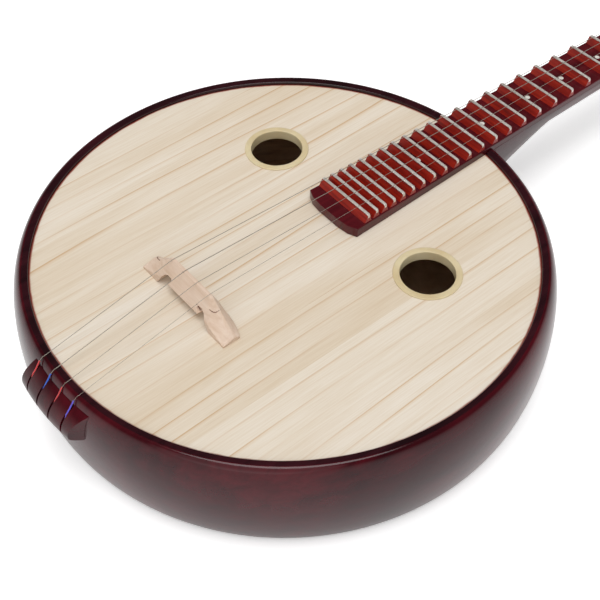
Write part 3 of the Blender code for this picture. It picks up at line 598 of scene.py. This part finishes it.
# Nickel silver, drawn and worn by the strings: a pale grey metal with fine scratches along each strip.
nickel, tree, place = new_material("drawn_nickel_silver")
along = add(tree, "ShaderNodeMapping", {"Vector": place, "Scale": repeats(0.4, 8, 1.1)})
scratches = add(tree, "ShaderNodeTexNoise", {"Vector": along.outputs["Vector"], "Scale": 1.0, "Detail": 3.0})
rough = add(tree, "ShaderNodeMapRange", {"Value": scratches.outputs["Fac"], "To Min": 0.34, "To Max": 0.52})
tarnish = add(tree, "ShaderNodeTexNoise", {"Vector": place, "Scale": repeats(8), "Detail": 3.0})
colour = add(tree, "ShaderNodeValToRGB", {"Fac": tarnish.outputs["Fac"]},
             ((0.3, "#cfc7be"), (0.7, "#ebe6df")))
looks = {"Base Color": colour.outputs["Color"], "Metallic": 0.55, "Roughness": rough.outputs["Result"]}
close_material(tree, looks, scratches.outputs["Fac"], 0.1, 0.0001)


def swept(name, routes, finish, width, thickness, corner):
    """Routes of points swept by a Geometry Nodes tree into bars with a rounded box section."""
    data = bpy.data.meshes.new(name)
    points, edges = [], []
    for route in routes:
        edges += [(len(points) + place, len(points) + place + 1) for place in range(len(route) - 1)]
        points += route
    data.from_pydata(points, edges, [])
    made = bpy.data.objects.new(name, data)
    bpy.context.scene.collection.objects.link(made)
    tree = bpy.data.node_groups.new(name + "_sweep", "GeometryNodeTree")
    tree.is_modifier = True
    tree.interface.new_socket("Geometry", in_out="INPUT", socket_type="NodeSocketGeometry")
    sizes = {"Width": width, "Thickness": thickness, "Corner": corner}
    sockets = {}
    for label in sizes:
        sockets[label] = tree.interface.new_socket(label, in_out="INPUT", socket_type="NodeSocketFloat")
    tree.interface.new_socket("Geometry", in_out="OUTPUT", socket_type="NodeSocketGeometry")
    start = add(tree, "NodeGroupInput")
    path = add(tree, "GeometryNodeMeshToCurve", {"Mesh": start.outputs["Geometry"]})
    section = add(tree, "GeometryNodeCurvePrimitiveQuadrilateral",
                  {"Width": start.outputs["Width"], "Height": start.outputs["Thickness"]})
    rounded = add(tree, "GeometryNodeFilletCurve", {"Curve": section.outputs["Curve"], "Count": 4,
                                                    "Radius": start.outputs["Corner"]}, mode="POLY")
    solid = add(tree, "GeometryNodeCurveToMesh", {"Curve": path.outputs["Curve"], "Fill Caps": True,
                                                  "Profile Curve": rounded.outputs["Curve"]})
    real = add(tree, "GeometryNodeRealizeInstances", {"Geometry": solid.outputs["Mesh"]})
    painted = add(tree, "GeometryNodeSetMaterial", {"Geometry": real.outputs["Geometry"], "Material": finish})
    add(tree, "NodeGroupOutput", {"Geometry": painted.outputs["Geometry"]})
    modifier = made.modifiers.new("sweep", "NODES")
    modifier.node_group = tree
    for label, size in sizes.items():
        modifier[sockets[label].identifier] = size
    bake(made)
    made.data.shade_smooth()
    made.data.set_sharp_from_angle(angle=math.radians(50))
    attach(made, "instrument")
    return made


routes = []
bend = 0.0011
turned_down = 0.0030
for number in range(1, 25):
    x = fret_x(number)
    half = fret_half(x) - strip_thickness / 2
    level = fret_top(x) - strip_thickness / 2
    route = [(x, -half, level - turned_down), (x, -half, level - bend)]
    for step in range(1, 4):
        turn = 0.5 * math.pi * step / 4
        route.append((x, -half + bend - bend * math.cos(turn), level - bend + bend * math.sin(turn)))
    route += [(x, -half + bend, level)]
    route += [(x, -y, z) for x, y, z in reversed(route)]
    routes.append(route)
swept("fret_strips", routes, nickel, strip_width, strip_thickness, 0.0004)


# The nut is a block of polished bone at the end of the fretboard. Bone is cream, faintly streaked along
# its length, and a little light sinks into it.
bone, tree, place = new_material("polished_bone")
along = add(tree, "ShaderNodeMapping", {"Vector": place, "Scale": repeats(2.5, 17, 2.5)})
streaks = add(tree, "ShaderNodeTexNoise", {"Vector": along.outputs["Vector"], "Scale": 1.0, "Detail": 4.0})
colour = add(tree, "ShaderNodeValToRGB", {"Fac": streaks.outputs["Fac"]},
             ((0.3, "#d8cdb2"), (0.7, "#ece4d0")))
looks = {"Base Color": colour.outputs["Color"], "Roughness": 0.3, "Subsurface Weight": 0.1,
         "Subsurface Radius": (0.002, 0.0015, 0.001), "Subsurface Scale": 1.0}
close_material(tree, looks, streaks.outputs["Fac"], 0.05, 0.0001)
dressed("nut", "nut_bone", [bone], sharp=30.0, bevel=0.0005)


# The bridge stands loose on the soundboard under the strings. It is carved from one piece of pale maple,
# sanded and left bare, and burnt knife lines mark the ends of its two hollows.
maple, tree, place = new_material("sanded_maple")
along = add(tree, "ShaderNodeMapping", {"Vector": place, "Scale": repeats(3.8, 33, 3.8)})
grain = add(tree, "ShaderNodeTexNoise", {"Vector": along.outputs["Vector"], "Scale": 1.0, "Detail": 5.0,
                                         "Roughness": 0.6, "Distortion": 0.5})
colour = add(tree, "ShaderNodeValToRGB", {"Fac": grain.outputs["Fac"]},
             ((0.3, "#d0b49c"), (0.55, "#dbc3af"), (0.75, "#e2cebd")))
looks = {"Base Color": colour.outputs["Color"], "Roughness": 0.55}
close_material(tree, looks, grain.outputs["Fac"], 0.2, 0.0002)
scorched = planed_wood("knife_cut_darkened_maple", "#8a4a1c", "#b8742f", (2.5, 2.5, 2.5), 0.8)
bridge_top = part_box("bridge")[1][2]
hollow_top = board_face + 0.0160
hollow_start = 0.0165
hollow_end = 0.0350
foot_edge = board_face + 0.0006


def is_hollow_wall(face):
    """Whether a face is a wall of one of the two hollows beside the feet."""
    middle = face.calc_center_median()
    return abs(face.normal.x) < 0.05 and hollow_start < abs(middle.y) < hollow_end and middle.z < hollow_top


dressed("bridge", "bridge_maple", [maple, scorched], sharp=30.0, bevel=0.0005,
        pick=lambda face: 1 if is_hollow_wall(face) else 0,
        settle=lambda place: fit_gap if place.z < foot_edge else 0.0)

# A hot knife leaves a thin charred groove, dark brown and quite dull.
scored, tree, place = new_material("burnt_knife_line_in_maple")
char = add(tree, "ShaderNodeTexNoise", {"Vector": place, "Scale": repeats(1.1), "Detail": 2.0})
colour = add(tree, "ShaderNodeValToRGB", {"Fac": char.outputs["Fac"]}, ((0.3, "#4a2010"), (0.7, "#7c4024")))
looks = {"Base Color": colour.outputs["Color"], "Roughness": 0.8}
close_material(tree, looks, char.outputs["Fac"], 0.2, 0.0001)
# Each line's points are in millimetres, with heights above the soundboard.
near_curl = [(-102.7, -15.8, 15.1), (-102.5, -17.0, 15.5), (-102.4, -17.9, 14.4), (-101.9, -18.3, 12.4),
             (-101.7, -19.2, 10.6)]
near_hook = [(-99.6, -29.6, 18.8), (-99.3, -31.5, 18.5), (-98.8, -33.1, 18.3), (-97.7, -34.7, 18.7),
             (-96.7, -35.4, 19.3), (-95.0, -35.5, 19.4), (-93.3, -35.2, 19.0)]
far_nick = [(-94.6, 50.6, 8.7), (-96.6, 45.9, 11.8), (-97.5, 41.4, 14.2)]
saddle_nick = [(-96.5, 9.3, 27.0), (-96.6, 8.4, 27.0)]
routes = [[(x / 1000, y / 1000, board_face + z / 1000) for x, y, z in line]
          for line in (near_curl, near_hook, far_nick, saddle_nick)]
knife_width = 0.00056
swept("knife_lines", routes, scored, knife_width, knife_width, 0.00026)


# The tailpiece is a half-round block of lacquered rosewood, bowed with the side of the body and glued to it.
# A saw kerf for each string runs down its round face, and the string's knot sits in it.
tailpiece_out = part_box("tailpiece")[0][0]
tail_stand = 0.0177
tail_seat = tailpiece_out + tail_stand
tail_root = -(back_radius - 0.0075)
# Each end has its side, its distance from the middle at the outermost line, and what the seat adds to that.
tail_ends = ((-1, 0.0295, 0.0098), (1, 0.0380, -0.0040))
tail_bow_radius = 0.220
tail_rows = 16
tail_shift = -0.0032
tail_top = board_face - 0.0010
tail_height = 0.0300
tail_belly_drop = 0.0240
tail_slope = 0.0180
tail_slope_power = 2.3
tail_undercut = 0.0160
tail_steps = 30
kerf_width = 0.0018
kerf_floor = board_face - 0.024
kerf_spacing = 0.0162


def tail_recess(drop):
    """How far the round face lies in from its outermost line, at a drop below the block's top."""
    if drop < tail_belly_drop:
        return tail_slope * (1 - drop / tail_belly_drop) ** tail_slope_power
    share = (drop - tail_belly_drop) / (tail_height - tail_belly_drop)
    return tail_undercut * (1 - math.sqrt(max(0.0, 1 - share**2)))


profile = [(tail_root, tail_top)]
for step in range(tail_steps + 1):
    drop = tail_height * (0.5 - 0.5 * math.cos(math.pi * step / tail_steps))
    profile.append((tailpiece_out + tail_recess(drop), tail_top - drop))
profile.append((tail_root, tail_top - tail_height))
verts = []
for row in range(tail_rows + 1):
    for x, z in profile:
        inward = (x - tailpiece_out) / (tail_seat - tailpiece_out)
        near, far = [end * (half_length + flare * inward) for end, half_length, flare in tail_ends]
        y = tail_shift + near + (far - near) * row / tail_rows
        verts.append((x + y**2 / (2 * tail_bow_radius), y, z))
count = len(profile)
faces = [tuple(range(count)), tuple(reversed(range(tail_rows * count, (tail_rows + 1) * count)))]
for row in range(tail_rows):
    for corner in range(count):
        a, b = row * count + corner, row * count + (corner + 1) % count
        faces.append((a, a + count, b + count, b))
tailpiece = piece("tailpiece_wood", verts, faces, [maroon_lacquer], body=None)
side_low_cut = 0.02
glue_line = 0.0003
body_shape = [(radius + glue_line, height) for radius, height in side_curve(crest_height, side_low_cut, 30)]
body_shape = [(near_axis, crest_height)] + body_shape + [(near_axis, side_low_cut)]
carve(tailpiece, turned(body_shape, round_steps), "body_side_shape")
saw_room = 0.01
for index in range(4):
    kerf = (1.5 - index) * kerf_spacing
    saw_start = (tailpiece_out - saw_room, kerf - kerf_width / 2, kerf_floor)
    saw_end = (tail_seat, kerf + kerf_width / 2, board_face + saw_room)
    carve(tailpiece, box_mesh(saw_start, saw_end), "kerf_saw")
eased(tailpiece, 40.0, 0.0007)
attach(tailpiece, "instrument")
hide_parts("tailpiece")


# The strings are steel, all but the thinnest wound, and run from a knot in the tailpiece over the rim, bridge
# and nut to the posts. Twisted silk in red, blue, rose and violet covers the end of each near the rim.
# The winding gives them a dull, broken shine, partly painted into the colour, and all four share it, because
# it can't be told apart here.
string_steel, tree, place = new_material("drawn_steel_wire")
# A wave texture of scale 1 repeats every 314 mm, so this one repeats every 0.35 mm, as the winding does.
winding = add(tree, "ShaderNodeTexWave", {"Vector": place, "Scale": 314 / 0.35}, bands_direction="X")
rough = add(tree, "ShaderNodeMapRange", {"Value": winding.outputs["Fac"], "To Min": 0.28, "To Max": 0.5})
# The colour is darker in the grooves between the turns and lighter on them: painted shade and highlight.
colour = add(tree, "ShaderNodeValToRGB", {"Fac": winding.outputs["Fac"]},
             ((0.0, "#837a6e"), (1.0, "#b8b0a4")))
looks = {"Base Color": colour.outputs["Color"], "Metallic": 0.6, "Roughness": rough.outputs["Result"]}
close_material(tree, looks, winding.outputs["Fac"], 0.1, 0.00005)
saddle_x = bridge_line - 0.0036
saddle_half_depth = 0.0013
saddle_spacing = 0.0160
nut_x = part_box("nut")[0][0]
nut_rise = 0.0012
nut_spacing = 0.0093
head_start = nut_x + 0.005
head_tilt = math.radians(12.0)
post_radius = 0.0025
winding_gap = 0.00015
winding_drop = 0.0060
winding_pitch = 0.0013
winding_steps = 32


def head_point(u, y, w):
    """A point in the pegbox's slanted frame: u along the head and w up out of its face."""
    x = head_start + u * math.cos(head_tilt) + w * math.sin(head_tilt)
    return (x, y, fretboard_face(head_start) - u * math.sin(head_tilt) + w * math.cos(head_tilt))


def string_route(index, radius, post, side):
    """A string from its knot in the kerf, over the rim, bridge and nut, to its turns on the post."""
    tail, saddle, nut = [(1.5 - index) * spacing for spacing in (kerf_spacing, saddle_spacing, nut_spacing)]
    over_crest = crest_height + 0.0005 + radius
    over_saddle = bridge_top + radius
    over_nut = fret_top(nut_x) + nut_rise
    route = [(tailpiece_out + 0.0079, tail, board_face - 0.0125),
             (tailpiece_out + 0.0092, tail, board_face - 0.0087),
             (tailpiece_out + 0.0129, tail, board_face - 0.0046),
             (-crest_radius - 0.0042, tail, over_crest - 0.0026),
             (-crest_radius - 0.0012, tail, over_crest - 0.0004),
             (-crest_radius + 0.0022, tail, over_crest),
             (saddle_x - saddle_half_depth, saddle, over_saddle),
             (saddle_x + saddle_half_depth, saddle, over_saddle),
             (nut_x, nut, over_nut), (nut_x + 0.0025, nut, over_nut - 0.0001)]
    turn_radius = post_radius + winding_gap + radius
    for step in range(2 * winding_steps + 1):
        turn = 2 * math.pi * step / winding_steps
        drop = winding_drop + winding_pitch * step / winding_steps
        u = post[0] + turn_radius * math.sin(turn)
        route.append(head_point(u, post[1] + side * turn_radius * math.cos(turn), -drop))
    return route


silk_radius = 0.0006
# Each string has its radius, its post in the head's frame, the side it winds to, and its silk's two colours,
# for the painted shade in the twist's grooves and the painted highlight on its ridges.
strings = (
    (0.00026, (0.030, 0.0075), 1, "twisted_red_silk", "#b3161b", "#e0383a"),
    (0.00030, (0.085, 0.0040), -1, "twisted_blue_silk", "#1440a6", "#2a6ae0"),
    (0.00022, (0.110, -0.0040), 1, "twisted_rose_silk", "#b01c20", "#dd4444"),
    (0.00016, (0.055, -0.0075), -1, "twisted_violet_silk", "#3a2aa8", "#6a58dd"),
)
for index, (radius, post, side, silk_name, dark, light) in enumerate(strings):
    route = string_route(index, radius, post, side)
    wire = swept(f"string_wire_{index + 1}", [route], string_steel, 2 * radius, 2 * radius, radius * 0.98)
    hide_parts(f"string_{index + 1}")
    silk, tree, place = new_material(silk_name)
    # The twist repeats every 0.75 mm: soft slanting ridges with no gloss. The colour is darker in the
    #     # grooves and lighter on the ridges: painted shade and highlight.
    twist = add(tree, "ShaderNodeTexWave", {"Vector": place, "Scale": 314 / 0.75, "Distortion": 1.0},
                bands_direction="DIAGONAL")
    colour = add(tree, "ShaderNodeValToRGB", {"Fac": twist.outputs["Fac"]}, ((0.1, dark), (0.8, light)))
    looks = {"Base Color": colour.outputs["Color"], "Roughness": 0.7, "Sheen Weight": 0.4}
    close_material(tree, looks, twist.outputs["Fac"], 0.5, 0.0002)
    swept(f"silk_wrap_{index + 1}", [route[:4]], silk, 2 * silk_radius, 2 * silk_radius, silk_radius * 0.98)


# Each string ends on an upright nickel-silver post in the pegbox, turned by a worm on the shaft of a key. The
# key has a turned knob of black polished hardwood, which shows the lights more than its grain.
ebony, tree, place = new_material("polished_ebonised_hardwood")
along = add(tree, "ShaderNodeMapping", {"Vector": place, "Scale": repeats(2, 17, 2)})
grain = add(tree, "ShaderNodeTexNoise", {"Vector": along.outputs["Vector"], "Scale": 1.0, "Detail": 4.0})
colour = add(tree, "ShaderNodeValToRGB", {"Fac": grain.outputs["Fac"]}, ((0.3, "#120c0b"), (0.7, "#2c201c")))
looks = {"Base Color": colour.outputs["Color"], "Roughness": 0.25, "Coat Weight": 0.3, "Coat Roughness": 0.08}
close_material(tree, looks, grain.outputs["Fac"], 0.05, 0.0001)
for index in range(1, 5):
    dressed(f"tuning_key_{index}", f"key_{index}", [ebony], sharp=40.0, body=f"key_{index}")
    dressed(f"string_post_{index}", f"post_{index}", [nickel], sharp=40.0, body=f"post_{index}")


# The head ends in a flat carved cloud of rosewood. It is dowelled and glued to the pegbox, its edges are
# rounded over, and it is lacquered with the rest.
dressed("head_ornament", "cloud_ornament", [maroon_lacquer], sharp=40.0, bevel=0.001)


# The studio floor is painted matt white. It takes the object's shadow, and a little glow that only the camera
# sees keeps it white where it is lit.
floor_paint, tree, place = new_material("matt_white_floor_paint")
stipple = add(tree, "ShaderNodeTexNoise", {"Vector": place, "Scale": repeats(3), "Detail": 1.0})
lift = add(tree, "ShaderNodeLightPath").outputs["Is Camera Ray"]
glow = add(tree, "ShaderNodeMath", {0: lift, 1: 0.32}, operation="MULTIPLY")
looks = {"Base Color": srgb("#fbfbfb"), "Roughness": 0.9, "Specular IOR Level": 0.0,
         "Emission Color": srgb("#ffffff"), "Emission Strength": glow.outputs[0]}
close_material(tree, looks, stipple.outputs["Fac"], 0.02, 0.0001)
floor_half = 6.0
floor_level = -0.0002
corners = ((-1, -1), (1, -1), (1, 1), (-1, 1))
verts = [(floor_half * x, floor_half * y, floor_level) for x, y in corners]
floor = piece("studio_floor", verts, [(0, 1, 2, 3)], [floor_paint], body=None)


# The studio round it is white to the camera and through clear things. It gives a soft even light, and gloss
# sees bright walls under a dim ceiling.
world = bpy.data.worlds.new("white_studio")
world.use_nodes = True
tree = world.node_tree
tree.nodes.clear()
path = add(tree, "ShaderNodeLightPath")
soft = add(tree, "ShaderNodeBackground", {"Color": srgb("#ffffff"), "Strength": 0.42})
white = add(tree, "ShaderNodeBackground", {"Color": srgb("#ffffff"), "Strength": 1.0})
direction = add(tree, "ShaderNodeTexCoord").outputs["Generated"]
rise = add(tree, "ShaderNodeSeparateXYZ", {"Vector": direction}).outputs["Z"]
walls = add(tree, "ShaderNodeValToRGB", {"Fac": rise}, ((0.10, "#f3f3f3"), (0.45, "#454545")))
seen = add(tree, "ShaderNodeBackground", {"Color": walls.outputs["Color"], "Strength": 1.0})
gloss = path.outputs["Is Glossy Ray"]
mixed = add(tree, "ShaderNodeMixShader", {0: gloss, 1: soft.outputs[0], 2: seen.outputs[0]})
through = path.outputs["Is Transmission Ray"]
direct = add(tree, "ShaderNodeMath", {0: path.outputs["Is Camera Ray"], 1: through}, operation="MAXIMUM")
final = add(tree, "ShaderNodeMixShader", {0: direct.outputs[0], 1: mixed.outputs[0], 2: white.outputs[0]})
add(tree, "ShaderNodeOutputWorld", {"Surface": final.outputs[0]})
bpy.context.scene.world = world


# Two soft sheets of light stand in for the photograph's: a wide one overhead, and a weaker one from the
# front that reaches under the strings.
def sun(name, strength, spread, towards):
    """A soft sheet of light from far off, shining along a direction."""
    lamp = bpy.data.lights.new(name, "SUN")
    lamp.energy = strength
    lamp.angle = math.radians(spread)
    made = bpy.data.objects.new(name, lamp)
    made.rotation_euler = Vector(towards).to_track_quat("-Z", "Y").to_euler()
    bpy.context.scene.collection.objects.link(made)


sun("overhead_softbox", 1.75, 40.0, (0.10, 0.12, -1.0))
sun("front_fill", 0.55, 60.0, (0.75, 0.55, -0.6))


# The camera looks down over the tail from the near side, as the photograph's did. Its place and lens were
# worked out from the frets, the soundboard's circle and the sound holes.
camera_data = bpy.data.cameras.new("photo_camera")
camera_data.sensor_width = 36.0
camera_data.lens = 66.586
camera_data.clip_start = 0.01
camera = bpy.data.objects.new("photo_camera", camera_data)
across = Vector((0.77139, -0.63637, 0.0)).normalized()
towards = Vector((0.41403, 0.50186, -0.75942)).normalized()
upward = across.cross(towards)
turn = Matrix((across, upward, -towards)).transposed().to_4x4()
camera.matrix_world = Matrix.Translation((-0.39846, -0.50212, 0.77770)) @ turn
bpy.context.scene.collection.objects.link(camera)
bpy.context.scene.camera = camera
bpy.context.scene.view_settings.view_transform = "Standard"
